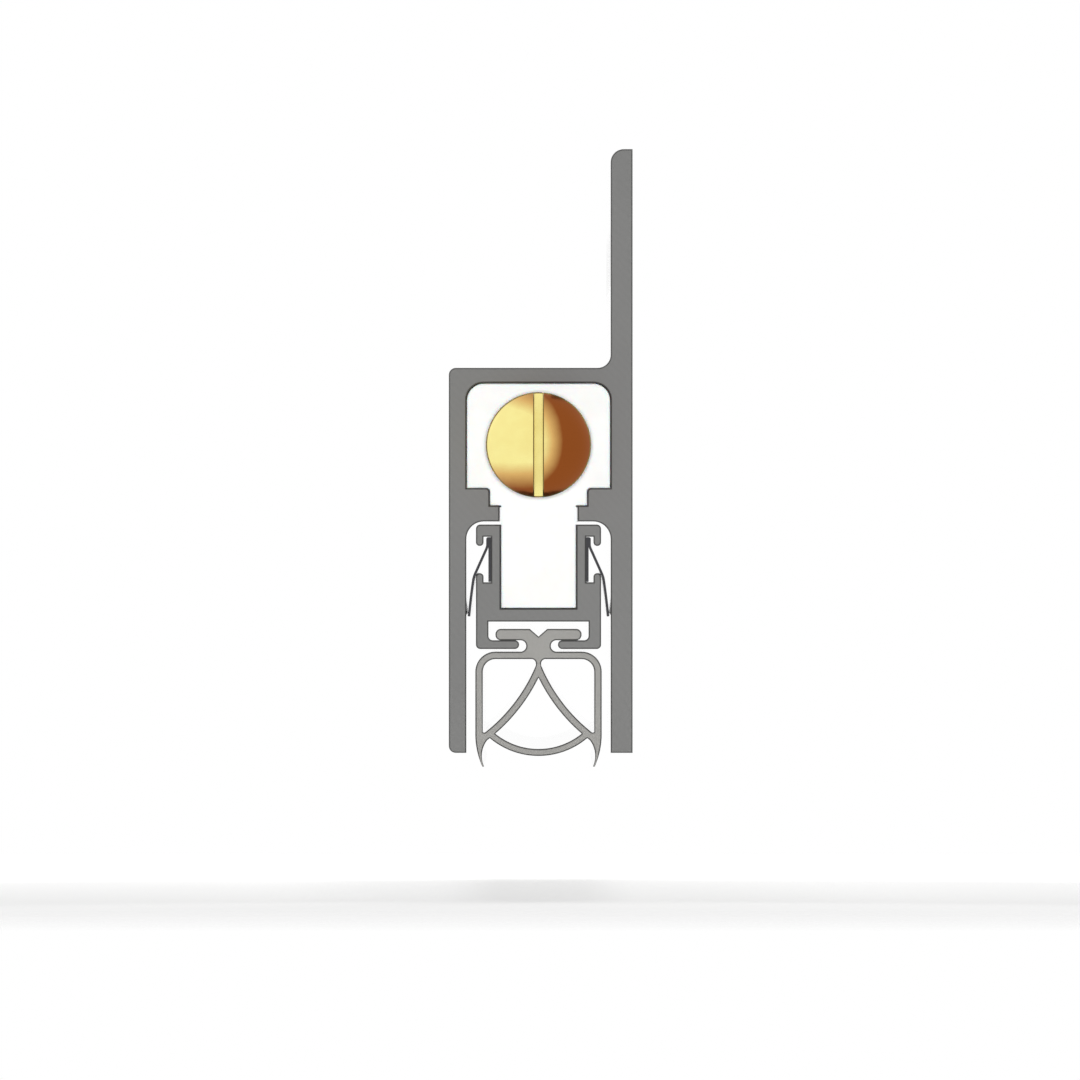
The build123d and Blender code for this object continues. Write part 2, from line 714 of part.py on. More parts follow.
    # Return spring: a coil around the rod, between the collar and the fixed block
    with BuildPart() as return_spring:
        end_room = spring_end_gap + spring_wire_radius
        coil_length = spring_length - 2 * end_room
        coil_start = (centre_x, fixed_y - spring_length + end_room, rod_height)
        coil_pitch = coil_length / spring_turns
        with BuildLine() as coil:
            Helix(coil_pitch, coil_length, spring_radius, center=coil_start, direction=(0, 1, 0))
        with BuildSketch(Plane(origin=coil.line @ 0, z_dir=coil.line % 0)):
            Circle(spring_wire_radius)
        sweep(is_frenet=True)
    save(return_spring, f"return_spring_{unit}")

strut_turn = degrees(strut_angle_dropped - strut_angle)
print(f"plunger stroke {plunger_stroke:.4f} mm, strut turn {strut_turn:.4f} degrees")
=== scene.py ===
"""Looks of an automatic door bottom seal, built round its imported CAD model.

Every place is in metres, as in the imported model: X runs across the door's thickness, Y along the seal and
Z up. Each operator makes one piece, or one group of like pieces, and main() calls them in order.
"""

import math

import bpy
from bpy.props import FloatProperty, FloatVectorProperty, IntProperty, PointerProperty
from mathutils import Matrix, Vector
from mathutils.geometry import delaunay_2d_cdt


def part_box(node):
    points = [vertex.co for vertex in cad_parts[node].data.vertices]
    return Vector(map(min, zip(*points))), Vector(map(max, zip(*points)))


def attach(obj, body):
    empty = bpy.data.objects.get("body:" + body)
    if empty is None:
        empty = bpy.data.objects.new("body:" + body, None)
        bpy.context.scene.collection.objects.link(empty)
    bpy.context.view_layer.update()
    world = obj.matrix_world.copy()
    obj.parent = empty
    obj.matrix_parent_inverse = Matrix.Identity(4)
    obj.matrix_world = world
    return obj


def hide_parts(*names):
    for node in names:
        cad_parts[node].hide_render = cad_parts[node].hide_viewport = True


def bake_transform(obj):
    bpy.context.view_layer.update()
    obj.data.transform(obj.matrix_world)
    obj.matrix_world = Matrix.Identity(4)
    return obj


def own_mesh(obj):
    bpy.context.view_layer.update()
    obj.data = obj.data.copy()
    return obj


bl_info = {
    "name": "Door bottom seal",
    "version": (1, 0, 0),
    "blender": (4, 5, 0),
    "location": "3D View > Sidebar > Door seal",
    "description": "Dresses the packed solids of an automatic door bottom seal",
    "category": "Add Mesh",
}

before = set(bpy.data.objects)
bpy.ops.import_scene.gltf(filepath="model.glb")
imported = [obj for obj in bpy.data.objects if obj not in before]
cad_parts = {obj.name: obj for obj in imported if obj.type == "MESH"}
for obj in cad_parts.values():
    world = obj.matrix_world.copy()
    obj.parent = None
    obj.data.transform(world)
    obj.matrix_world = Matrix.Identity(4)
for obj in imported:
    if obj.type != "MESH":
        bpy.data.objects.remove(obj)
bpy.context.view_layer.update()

MM = 0.001
gasket_low, gasket_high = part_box("gasket")
casing_low, casing_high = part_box("casing")
centre_x = (gasket_low.x + gasket_high.x) / 2
front_end, back_end = casing_low.y, casing_high.y
knob_low, knob_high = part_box("plunger_knob")
knob_axis = ((knob_low.x + knob_high.x) / 2, (knob_low.z + knob_high.z) / 2)


def srgb(red, green, blue):
    """Linear colour of a screen colour given in 0 to 255."""
    shares = [level / 255 for level in (red, green, blue)]
    return tuple(c / 12.92 if c <= 0.04045 else ((c + 0.055) / 1.055) ** 2.4 for c in shares)


def length_prop(label, description, millimetres):
    """A size that a user can change, shown in the scene's length unit."""
    return FloatProperty(
        name=label, description=description, default=millimetres * MM, min=0, unit="LENGTH", precision=5
    )


def place_prop(label, description, metres):
    """A place or a long distance that a user can change."""
    return FloatProperty(name=label, description=description, default=metres, unit="LENGTH", precision=5)


def colour_prop(label, description, colour):
    """A colour that a user can change."""
    return FloatVectorProperty(
        name=label, description=description, default=colour, subtype="COLOR", size=3, min=0, max=1
    )


class GasketSizes(bpy.types.PropertyGroup):
    """Section of the silicone gasket"""

    bulb_width: length_prop("Bulb width", "Width over the bulb's side walls", 14.44)
    bulb_top: length_prop("Bulb top", "Height of the bulb's upper face", 11.57)
    bulb_foot: length_prop("Bulb foot", "Height at which the side walls become lips", 2.03)
    bulb_wall: length_prop("Wall", "Thickness of the bulb's walls and ribs", 0.85)
    bulb_corner: length_prop("Corner radius", "Outside radius of the bulb's upper corners", 2.3)
    head_width: length_prop("Head width", "Width of the head that slides in the carrier", 9.84)
    head_bottom: length_prop("Head underside", "Height of the head's underside", 12.87)
    head_thickness: length_prop("Head thickness", "Thickness of the head", 1.3)
    notch_width: length_prop("Notch width", "Width of the notch in the head", 2.0)
    notch_depth: length_prop("Notch depth", "Depth of the notch in the head", 0.88)
    stem_width: length_prop("Stem width", "Narrowest width between head and bulb", 2.8)
    bow_wall: length_prop("Bow wall", "Thickness of the bottom bow", 0.8)
    lip_length: length_prop("Lip length", "Reach of the two lips below the bulb's foot", 3.6)
    lip_tip: length_prop("Lip tip", "Thickness of the lips at their tips", 0.2)
    cut_edge: length_prop("Cut edge", "Width of the worn edge round each cut end", 0.2)
    lip_wave: length_prop("Lip wave", "How far the lips wander along the seal", 0.05)
    rows: IntProperty(name="Rows", description="Divisions along the seal", default=72, min=4, max=400)


class FinSizes(bpy.types.PropertyGroup):
    """Section of the two side fins"""

    thickness: length_prop("Thickness", "Thickness of the fin strip", 0.3)
    wave: length_prop("Wave", "How far the free edge wanders along the seal", 0.03)
    cut_edge: length_prop("Cut edge", "Width of the worn edge round each cut end", 0.03)
    rows: IntProperty(name="Rows", description="Divisions along the seal", default=80, min=4, max=400)


class SpringSizes(bpy.types.PropertyGroup):
    """Leaf springs and return springs"""

    wire_radius: length_prop("Wire radius", "Radius of the return springs' wire", 0.4)
    turns: FloatProperty(
        name="Turns", description="Turns of each return spring", default=9.5, min=2, max=40
    )
    closed_turns: FloatProperty(
        name="Closed turns", description="Turns that lie together at each end", default=1.1, min=0, max=3
    )
    sides: IntProperty(name="Sides", description="Facets round the wire", default=12, min=3, max=32)
    leaf_corner: length_prop("Leaf corner", "Radius of the leaf springs' corners", 1.0)
    leaf_hole: length_prop("Leaf hole", "Radius of the screw holes in the leaf springs", 1.25)
    leaf_step: length_prop("Leaf step", "Spacing of the divisions that let a leaf bend", 1.2)
    keep: FloatProperty(
        name="Pressed length", description="Share of a return spring's length left when pressed",
        default=0.709, min=0.1, max=1, subtype="FACTOR",
    )


class SealColours(bpy.types.PropertyGroup):
    """Colours of the finishes"""

    aluminium: colour_prop("Aluminium", "Long faces of the extrusions", srgb(146, 146, 144))
    aluminium_cut: colour_prop("Cut aluminium", "Sawn ends of the extrusions", srgb(113, 113, 112))
    # Painted shade: a dark colour on the broken edges round the sawn ends.
    aluminium_edge_shade: colour_prop("Aluminium edge", "Deburred edges round the sawn ends", srgb(74, 74, 73))
    silicone: colour_prop("Silicone", "Gasket", srgb(139, 138, 135))
    # Painted shade: a dark colour round the gasket's cut ends.
    silicone_edge_shade: colour_prop("Silicone edge", "Edges round the gasket's cut ends", srgb(48, 48, 47))
    fin: colour_prop("Fins", "Side fins", srgb(42, 42, 45))
    brass: colour_prop("Brass", "Plunger knob", srgb(250, 238, 156))
    # Painted shade on the knob: these two colours darken its face to one side and below, as its lighting
    # would.
    brass_painted_shade_tan: colour_prop("Light tarnish", "Where the knob begins to tarnish", srgb(219, 176, 105))
    brass_painted_shade_brown: colour_prop("Dark tarnish", "Where the knob is tarnished most", srgb(141, 76, 33))
    # Painted shade: a dark line colour along the knob's slot and round its rim.
    brass_painted_edge_shade: colour_prop("Edge tarnish", "Along the knob's slot and rim", (0.25, 0.17, 0.05))
    nylon: colour_prop("Nylon", "Guide, moving and fixed blocks", srgb(251, 251, 249))
    steel: colour_prop("Steel", "Push rod, struts, collars and pins", srgb(176, 177, 180))
    spring_steel: colour_prop("Spring steel", "Springs and spring pins", srgb(120, 122, 128))
    zinc: colour_prop("Zinc plate", "Brackets and screws", srgb(186, 188, 190))
    rivet: colour_prop("Rivets", "Aluminium rivets", srgb(188, 188, 187))


class StageSettings(bpy.types.PropertyGroup):
    """Camera, lamps, floor and backdrop"""

    view_width: length_prop("View width", "Width of the picture at the seal's near end", 123.43)
    view_x: place_prop("View X", "Camera's place across the door", -10.58 * MM)
    view_z: place_prop("View Z", "Camera's height", 24.33 * MM)
    distance: place_prop("Distance", "From the camera to the seal's near end", 5.5)
    floor_drop: length_prop("Floor drop", "From the casing's lower edge to the floor", 16.7)
    floor_radius: place_prop("Floor radius", "Where the floor has faded out", 0.62)
    ambient: FloatProperty(name="Ambient", description="Light from all round", default=0.13, min=0, max=1)


class DoorSealSettings(bpy.types.PropertyGroup):
    """All sizes and colours of the seal's visible pieces"""

    gasket: PointerProperty(type=GasketSizes)
    fins: PointerProperty(type=FinSizes)
    springs: PointerProperty(type=SpringSizes)
    colours: PointerProperty(type=SealColours)
    stage: PointerProperty(type=StageSettings)


def settings():
    """The scene's own sizes and colours."""
    return bpy.context.scene.door_seal


def add(tree, kind, inputs=(), **options):
    """Adds a node, sets its options, and sets or links the inputs that are named."""
    node = tree.nodes.new(kind)
    for key, value in options.items():
        setattr(node, key, value)
    for key, value in dict(inputs).items():
        socket = node.inputs[key]
        if isinstance(value, bpy.types.NodeSocket):
            tree.links.new(value, socket)
        else:
            socket.default_value = value
    return node


def out(tree, kind, inputs=(), **options):
    """The first output of a new node."""
    return add(tree, kind, inputs, **options).outputs[0]


def start_finish(name, sockets):
    """A new material with some of its shader's sockets set: its tree, its shader and its coordinates."""
    finish = bpy.data.materials.new(name)
    finish.use_nodes = True
    tree = finish.node_tree
    tree.nodes.clear()
    shader = add(tree, "ShaderNodeBsdfPrincipled", sockets)
    add(tree, "ShaderNodeOutputMaterial", {"Surface": shader.outputs[0]})
    place = add(tree, "ShaderNodeTexCoord").outputs["Object"]
    return finish, tree, shader, place


def grain(tree, vector, scale, detail=3.0, roughness=0.6):
    """Noise whose grains are 1/scale metres long on each axis."""
    mapping = add(tree, "ShaderNodeMapping", {"Vector": vector, "Scale": scale})
    values = {"Vector": mapping.outputs[0], "Scale": 1.0, "Detail": detail, "Roughness": roughness}
    return out(tree, "ShaderNodeTexNoise", values)


def remap(tree, value, low, high, start=0.3, stop=0.7, **options):
    """A value between start and stop turned into one between low and high."""
    values = {"Value": value, "From Min": start, "From Max": stop, "To Min": low, "To Max": high}
    return out(tree, "ShaderNodeMapRange", values, **options)


def math_node(tree, operation, first, second=0.0):
    """One step of arithmetic."""
    return out(tree, "ShaderNodeMath", {0: first, 1: second}, operation=operation)


def plus(tree, first, second):
    """The sum of two values."""
    return math_node(tree, "ADD", first, second)


def minus(tree, first, second):
    """The first value less the second."""
    return math_node(tree, "SUBTRACT", first, second)


def times(tree, first, second):
    """The product of two values."""
    return math_node(tree, "MULTIPLY", first, second)


def larger(tree, first, second):
    """The larger of two values."""
    return math_node(tree, "MAXIMUM", first, second)


def length_of(tree, vector):
    """The length of a vector."""
    return add(tree, "ShaderNodeVectorMath", {0: vector}, operation="LENGTH").outputs[1]


def blend_colours(tree, factor, first, second):
    """Colour between two, by a factor."""
    values = {0: factor, 6: rgba(first), 7: rgba(second)}
    return add(tree, "ShaderNodeMix", values, data_type="RGBA").outputs[2]


def rgba(colour):
    """A colour with its alpha, or a socket as it is."""
    return colour if isinstance(colour, bpy.types.NodeSocket) else (*colour, 1.0)


def shaded(colour, factor):
    """A colour made darker or lighter by a factor."""
    return tuple(min(1.0, channel * factor) for channel in colour)


def mottled(tree, mix, tone, dark, light):
    """A tone that wanders between a darker and a lighter shade of itself."""
    return blend_colours(tree, mix, shaded(tone, dark), shaded(tone, light))


def looks_along(tree):
    """How squarely a face looks along the seal, from 0 to 1."""
    normal = add(tree, "ShaderNodeTexCoord").outputs["Normal"]
    return math_node(tree, "ABSOLUTE", add(tree, "ShaderNodeSeparateXYZ", {0: normal}).outputs[1])


def edge_on(tree, value, gloss=0.01):
    """A roughness or bump strength that falls to a gloss where a real face is seen almost edge on."""
    turned = add(tree, "ShaderNodeLayerWeight", {"Blend": 0.5}).outputs["Facing"]
    steep = remap(tree, turned, 0.0, 1.0, 0.93, 0.985, interpolation_type="SMOOTHSTEP")
    return out(tree, "ShaderNodeMix", {0: steep, 2: value, 3: gloss}, data_type="FLOAT")


def complete(tree, shader, base, roughness, height, strength, depth):
    """Links a finish's colour, its roughness and a relief of the given depth in metres to its shader."""
    bump = {"Height": height, "Strength": edge_on(tree, strength, 0.0), "Distance": depth}
    tree.links.new(base, shader.inputs["Base Color"])
    tree.links.new(roughness, shader.inputs["Roughness"])
    tree.links.new(out(tree, "ShaderNodeBump", bump), shader.inputs["Normal"])


def end_masks(tree):
    """Masks of the faces that look along the seal, and of the edges broken round them."""
    along = looks_along(tree)
    cut_face = math_node(tree, "GREATER_THAN", along, 0.95)
    sloped = math_node(tree, "GREATER_THAN", along, 0.45)
    return cut_face, minus(tree, sloped, cut_face)


def extrusion_finish(name):
    """Anodised aluminium: die lines along the bar, saw marks on its ends, and dulled edges with painted
    shade on them.
    """
    colours = settings().colours
    finish, tree, shader, place = start_finish(name, {"Specular IOR Level": 0.4})
    fine = grain(tree, place, (5200, 16, 5200))
    broad = grain(tree, place, (620, 5, 620), 2.0)
    cloud = grain(tree, place, (60, 22, 60), 2.0)
    cut_face, edge = end_masks(tree)
    saw_place = out(tree, "ShaderNodeMapping", {"Vector": place, "Location": (0.16, 0, 0.11)})
    saw_marks = {"Vector": saw_place, "Scale": 420.0, "Distortion": 1.6, "Detail": 2.0, "Detail Scale": 3.0}
    arcs = add(tree, "ShaderNodeTexWave", saw_marks, wave_type="RINGS", rings_direction="Y").outputs[1]
    long_mix = plus(tree, remap(tree, fine, 0, 0.5), remap(tree, broad, 0, 0.5))
    long_colour = mottled(tree, long_mix, colours.aluminium, 0.88, 1.1)
    cut_mix = plus(tree, times(tree, arcs, 0.35), remap(tree, cloud, 0, 0.65))
    cut_colour = mottled(tree, cut_mix, colours.aluminium_cut, 0.965, 1.035)
    base = blend_colours(tree, cut_face, long_colour, cut_colour)
    # Painted shade on the broken edges round the sawn ends, which are also made less metallic.
    base = blend_colours(tree, edge, base, colours.aluminium_edge_shade)
    metal = times(tree, remap(tree, cut_face, 0.85, 0.2, 0.0, 1.0), minus(tree, 1.0, edge))
    tree.links.new(metal, shader.inputs["Metallic"])
    long_rough = remap(tree, plus(tree, fine, cloud), 0.3, 0.46, 0.7, 1.3)
    rough = larger(tree, long_rough, times(tree, cut_face, 0.52))
    lines = times(tree, long_mix, minus(tree, 1.0, cut_face))
    saw_lines = times(tree, times(tree, arcs, 0.3), cut_face)
    complete(tree, shader, base, edge_on(tree, rough), plus(tree, lines, saw_lines), 0.5, 0.012 * MM)
    return finish


def silicone_finish(name):
    """Extruded silicone: matt, finely specked, with a little light in its depth and painted shade along its
    cut edges.
    """
    colours = settings().colours
    finish, tree, shader, place = start_finish(name, {
        "Subsurface Weight": 0.12, "Subsurface Scale": 0.6 * MM, "Subsurface Radius": (1.0, 0.95, 0.9),
        "Specular IOR Level": 0.35,
    })
    specks = grain(tree, place, (5600, 4200, 5600), 2.0)
    bloom = grain(tree, place, (340, 90, 340), 3.0)
    lines = grain(tree, place, (2600, 9, 2600), 2.0)
    mix = plus(tree, remap(tree, specks, 0, 0.45), remap(tree, bloom, 0, 0.55))
    base = mottled(tree, mix, colours.silicone, 0.93, 1.06)
    # Painted shade: the rim attribute darkens the bevels round the cut ends.
    rim = add(tree, "ShaderNodeAttribute", attribute_name="rim").outputs["Fac"]
    rim = remap(tree, rim, 0.0, 1.0, 0.1, 0.6)
    base = blend_colours(tree, rim, base, colours.silicone_edge_shade)
    rough = edge_on(tree, remap(tree, bloom, 0.5, 0.66))
    height = plus(tree, times(tree, lines, 0.6), times(tree, specks, 0.4))
    complete(tree, shader, base, rough, height, 0.45, 0.02 * MM)
    return finish


def fin_finish(name):
    """Thin black strip with a satin face and faint scuffs along its travel."""
    finish, tree, shader, place = start_finish(name, {"Specular IOR Level": 0.45})
    scuffs = grain(tree, place, (1900, 3200, 260), 3.0)
    lines = grain(tree, place, (4200, 14, 4200), 2.0)
    base = mottled(tree, remap(tree, scuffs, 0, 1), settings().colours.fin, 0.8, 1.35)
    rough = edge_on(tree, remap(tree, scuffs, 0.42, 0.6))
    complete(tree, shader, base, rough, lines, 0.4, 0.01 * MM)
    return finish


def painted_shade_spread(tree, x, z):
    """Distance from the brightly lit part of the knob's face, which reaches out to the upper left; the
    painted shade grows with it.
    """
    bright_x, bright_z, flatness, lean = -1.2 * MM, 0.6 * MM, 0.72, 0.35
    past_x = larger(tree, minus(tree, x, bright_x), 0.0)
    above = minus(tree, z, bright_z)
    above_leaning = plus(tree, above, times(tree, math_node(tree, "MINIMUM", x, 0.0), lean))
    past_z = times(tree, larger(tree, above_leaning, times(tree, above, -1.0)), flatness)
    return length_of(tree, out(tree, "ShaderNodeCombineXYZ", {0: past_x, 1: past_z}))


def brass_finish(name):
    """Turned brass: rings round the knob's own axis, with painted shade on one side and below, and painted
    dark lines along its slot and rim.
    """
    colours = settings().colours
    slot_half, slot_line_end, rim_line_start = 0.49 * MM, 0.62 * MM, 5.86 * MM
    finish, tree, shader, place = start_finish(name, {"Metallic": 1.0})
    to_axis = {"Vector": place, "Location": (-knob_axis[0], 0, -knob_axis[1])}
    centred = out(tree, "ShaderNodeMapping", to_axis)
    x, y, z = add(tree, "ShaderNodeSeparateXYZ", {0: centred}).outputs
    flat = out(tree, "ShaderNodeVectorMath", {0: centred, 1: (1, 0, 1)}, operation="MULTIPLY")
    radius = length_of(tree, flat)
    ring_place = out(tree, "ShaderNodeCombineXYZ", {0: plus(tree, radius, times(tree, y, 0.7))})
    rings = grain(tree, ring_place, (9000, 1, 1), 2.0)
    handling = grain(tree, centred, (230, 230, 230), 3.0)
    tone = colours.brass
    warm = (tone[0] * 0.93, tone[1] * 0.84, tone[2] * 0.72)
    base = blend_colours(tree, remap(tree, handling, 0, 0.6), tone, warm)

    # Painted shade: the face turns tan, then brown, away from its brightly lit upper left; the slot is left
    # out.
    spread = plus(tree, painted_shade_spread(tree, x, z), remap(tree, handling, 0, 0.2 * MM))
    across = math_node(tree, "ABSOLUTE", x)
    off_slot = math_node(tree, "GREATER_THAN", across, slot_half)
    clear, middle, full = 1.9 * MM, 2.9 * MM, 4.1 * MM
    for near, far, painted_shade in ((clear, middle, colours.brass_painted_shade_tan), (middle, full, colours.brass_painted_shade_brown)):
        share = times(tree, remap(tree, spread, 0, 1, near, far), off_slot)
        base = blend_colours(tree, share, base, painted_shade)

    # Painted shade: thin dark lines beside the slot and round the rim of the knob's front face.
    beside_slot = times(tree, off_slot, math_node(tree, "LESS_THAN", across, slot_line_end))
    round_rim = math_node(tree, "GREATER_THAN", radius, rim_line_start)
    front_face = math_node(tree, "GREATER_THAN", looks_along(tree), 0.3)
    line_share = times(tree, larger(tree, beside_slot, round_rim), front_face)
    base = blend_colours(tree, line_share, base, colours.brass_painted_edge_shade)
    rough = plus(tree, remap(tree, handling, 0.13, 0.22), remap(tree, rings, 0, 0.05))
    complete(tree, shader, base, rough, rings, 0.25, 0.004 * MM)
    return finish


def nylon_finish(name):
    """Moulded white nylon, a little translucent, with a fine spark texture."""
    finish, tree, shader, place = start_finish(
        name, {"Subsurface Weight": 0.2, "Subsurface Scale": 0.8 * MM, "Specular IOR Level": 0.4}
    )
    spark = grain(tree, place, (3600, 3600, 3600), 3.0)
    cloud = grain(tree, place, (210, 210, 210), 2.0)
    base = mottled(tree, remap(tree, cloud, 0, 1), settings().colours.nylon, 0.95, 1)
    complete(tree, shader, base, remap(tree, spark, 0.4, 0.55), spark, 0.3, 0.015 * MM)
    return finish


def drawn_metal_finish(name, tone, scale, rough, contrast):
    """Bright metal with a grain; scale sets how fine the grain is on each axis."""
    finish, tree, shader, place = start_finish(name, {"Metallic": 1.0})
    lines = grain(tree, place, scale)
    cloud = grain(tree, place, (150, 120, 150), 3.0)
    mix = plus(tree, remap(tree, lines, 0, 0.5), remap(tree, cloud, 0, 0.5))
    base = mottled(tree, mix, tone, 1 - contrast, 1 + contrast)
    roughness = remap(tree, plus(tree, lines, cloud), *rough, 0.7, 1.3)
    complete(tree, shader, base, roughness, lines, 0.35, 0.006 * MM)
    return finish


def zinc_finish(name):
    """Zinc plate: pale grey with a faint crystal pattern and warm and cool patches."""
    finish, tree, shader, place = start_finish(name, {"Metallic": 1.0})
    cell_place = out(tree, "ShaderNodeMapping", {"Vector": place, "Scale": (1600, 1600, 1600)})
    crystal = add(tree, "ShaderNodeTexVoronoi", {"Vector": cell_place, "Scale": 1.0}).outputs["Color"]
    cell = out(tree, "ShaderNodeSeparateColor", {0: crystal})
    cloud = grain(tree, place, (190, 190, 190), 3.0)
    tone = settings().colours.zinc
    cool = (tone[0] * 0.9, tone[1] * 0.97, tone[2] * 1.06)
    warm = (tone[0] * 1.05, tone[1] * 1.0, tone[2] * 0.86)
    base = blend_colours(tree, remap(tree, cloud, 0, 1), cool, warm)
    base = blend_colours(tree, times(tree, cell, 0.16), base, shaded(tone, 0.6))
    complete(tree, shader, base, remap(tree, cell, 0.26, 0.42, 0.0, 1.0), cell, 0.2, 0.004 * MM)
    return finish


def make_finishes():
    """One material for each of the record's material slots."""
    colours = settings().colours
    return {
        "aluminium": extrusion_finish("satin_aluminium"),
        "rivet_aluminium": drawn_metal_finish(
            "rivet_aluminium_face", colours.rivet, (900, 900, 900), (0.24, 0.38), 0.08
        ),
        "silicone": silicone_finish("grey_silicone"),
        "fin_strip": fin_finish("black_fin_strip"),
        "brass": brass_finish("turned_brass"),
        "nylon": nylon_finish("white_nylon"),
        "steel": drawn_metal_finish("drawn_steel", colours.steel, (2600, 40, 2600), (0.2, 0.34), 0.08),
        "spring_steel": drawn_metal_finish(
            "tempered_spring_steel", colours.spring_steel, (1500, 60, 1500), (0.24, 0.4), 0.14
        ),
        "zinc_plate": zinc_finish("zinc_plate_face"),
    }


def finish_of(slot):
    """The material made for a slot of the record."""
    names = {
        "silicone": "grey_silicone", "fin_strip": "black_fin_strip", "spring_steel": "tempered_spring_steel",
    }
    return bpy.data.materials[names[slot]]


def arc_through(first, middle, last, steps):
    """Points on the circle through three points, from the first to the last."""
    (ax, az), (mx, mz), (bx, bz) = first, middle, last
    a2, m2, b2 = ax * ax + az * az, mx * mx + mz * mz, bx * bx + bz * bz
    double = 2 * (ax * (mz - bz) + mx * (bz - az) + bx * (az - mz))
    cx = (a2 * (mz - bz) + m2 * (bz - az) + b2 * (az - mz)) / double
    cz = (a2 * (bx - mx) + m2 * (ax - bx) + b2 * (mx - ax)) / double
    radius = math.hypot(ax - cx, az - cz)
    start = math.atan2(az - cz, ax - cx)
    sweep = (math.atan2(bz - cz, bx - cx) - start) % math.tau
    if (math.atan2(mz - cz, mx - cx) - start) % math.tau > sweep:
        sweep -= math.tau
    turns = [start + sweep * i / steps for i in range(steps + 1)]
    return [(cx + radius * math.cos(turn), cz + radius * math.sin(turn)) for turn in turns]


def rounded_box(left, right, bottom, top, radii, steps=10):
    """Outline of a rectangle with a radius at each corner, counterclockwise from the lower left."""
    corners = ((left, bottom, 1, 1), (right, bottom, -1, 1), (right, top, -1, -1), (left, top, 1, -1))
    outline = []
    for number, ((x, z, inward_x, inward_z), radius) in enumerate(zip(corners, radii)):
        if not radius:
            outline.append((x, z))
            continue
        for i in range(steps + 1):
            turn = math.pi * (1 + number / 2) + math.pi / 2 * i / steps
            cx, cz = x + inward_x * radius, z + inward_z * radius
            outline.append((cx + radius * math.cos(turn), cz + radius * math.sin(turn)))
    return outline


def strip(path, widths):
    """Outline of a strip that follows a path, with a width at each of its points."""
    left, right = [], []
    for i, ((x, z), width) in enumerate(zip(path, widths)):
        before, after = path[max(i - 1, 0)], path[min(i + 1, len(path) - 1)]
        run_x, run_z = after[0] - before[0], after[1] - before[1]
        share = width / 2 / math.hypot(run_x, run_z)
        left.append((x - run_z * share, z + run_x * share))
        right.append((x + run_z * share, z - run_x * share))
    return right + left[::-1]


def mirrored(points):
    """The same points on the other side of the centre line."""
    return [(-x, z) for x, z in points]


def is_counterclockwise(outline):
    """Whether the outline runs counterclockwise, by the sign of its area."""
    pairs = zip(outline, outline[1:] + outline[:1])
    return sum(ax * bz - bx * az for (ax, az), (bx, bz) in pairs) > 0


def fill_section(groups, inner_points=()):
    """Points and triangles of a section. Each group is (outlines to fill, outlines to cut from them)."""
    points, faces, owners = [Vector(p) for p in inner_points], [], []
    for number, group in enumerate(groups):
        for filled, outlines in zip((True, False), group):
            for outline in outlines:
                ring = outline if is_counterclockwise(outline) else outline[::-1]
                faces.append(list(range(len(points), len(points) + len(ring))))
                points.extend(Vector(p) for p in ring)
                owners.append((number, filled))
    keep_inside, too_near = 1, 1e-5
    spots, _, triangles, _, _, sources = delaunay_2d_cdt(points, [], faces, keep_inside, too_near, True)
    kept = []
    for triangle, inside in zip(triangles, sources):
        found = {owners[face] for face in inside}
        if any((n, True) in found and (n, False) not in found for n in range(len(groups))):
            kept.append(list(triangle))
    return [(spot.x, spot.y) for spot in spots], kept


def rim_edges(triangles):
    """Directed edges round a section, with its inside on their left."""
    directed = {edge for t in triangles for edge in zip(t, t[1:] + t[:1])}
    return [edge for edge in directed if edge[::-1] not in directed]


def inset_points(points, edges, depth):
    """Each rim point moved into the section, less far where the section is thin."""
    most_share = 0.35
    inward = {}
    for a, b in edges:
        run_x, run_z = points[b][0] - points[a][0], points[b][1] - points[a][1]
        length = math.hypot(run_x, run_z)
        for end in (a, b):
            sum_x, sum_z = inward.get(end, (0, 0))
            inward[end] = (sum_x - run_z / length, sum_z + run_x / length)
    moved = {}
    for number, (in_x, in_z) in inward.items():
        x, z = points[number]
        size = max(math.hypot(in_x, in_z), 1e-9)
        in_x, in_z = in_x / size, in_z / size
        step = min(depth, most_share * distance_ahead(points, edges, number, (in_x, in_z)))
        moved[number] = (x + in_x * step, z + in_z * step)
    return moved


def distance_ahead(points, edges, number, heading):
    """Distance from a rim point across the section to the rim opposite."""
    x, z = points[number]
    best = math.inf
    for a, b in edges:
        if number in (a, b):
            continue
        (ax, az), (bx, bz) = points[a], points[b]
        run_x, run_z = bx - ax, bz - az
        cross = heading[0] * run_z - heading[1] * run_x
        if abs(cross) < 1e-12:
            continue
        ahead = ((ax - x) * run_z - (az - z) * run_x) / cross
        share = ((ax - x) * heading[1] - (az - z) * heading[0]) / cross
        if ahead > 1e-6 and -1e-6 <= share <= 1 + 1e-6:
            best = min(best, ahead)
    return best


def closed_rings(edges):
    """Rim edges joined up into closed rings of point numbers."""
    after = dict(edges)
    rings = []
    while after:
        start, here = after.popitem()
        ring = [start]
        while here != start:
            ring.append(here)
            here = after.pop(here)
        rings.append(ring)
    return rings


def fill_cap(edges, places):
    """Triangles that fill the moved rim, by the rim's point numbers.

    Points that only the filling needs get new numbers and are added to the places.
    """
    outer, holes = [], []
    for ring in closed_rings(edges):
        outline = [places[number] for number in ring]
        (outer if is_counterclockwise(outline) else holes).append(outline)
    known = {tuple(Vector(place)): number for number, place in places.items()}
    spots, triangles = fill_section([(outer, holes)])
    numbers = []
    for spot in spots:
        if spot not in known:
            known[spot] = max(places) + 1
            places[known[spot]] = spot
        numbers.append(known[spot])
    return [[numbers[corner] for corner in triangle] for triangle in triangles]


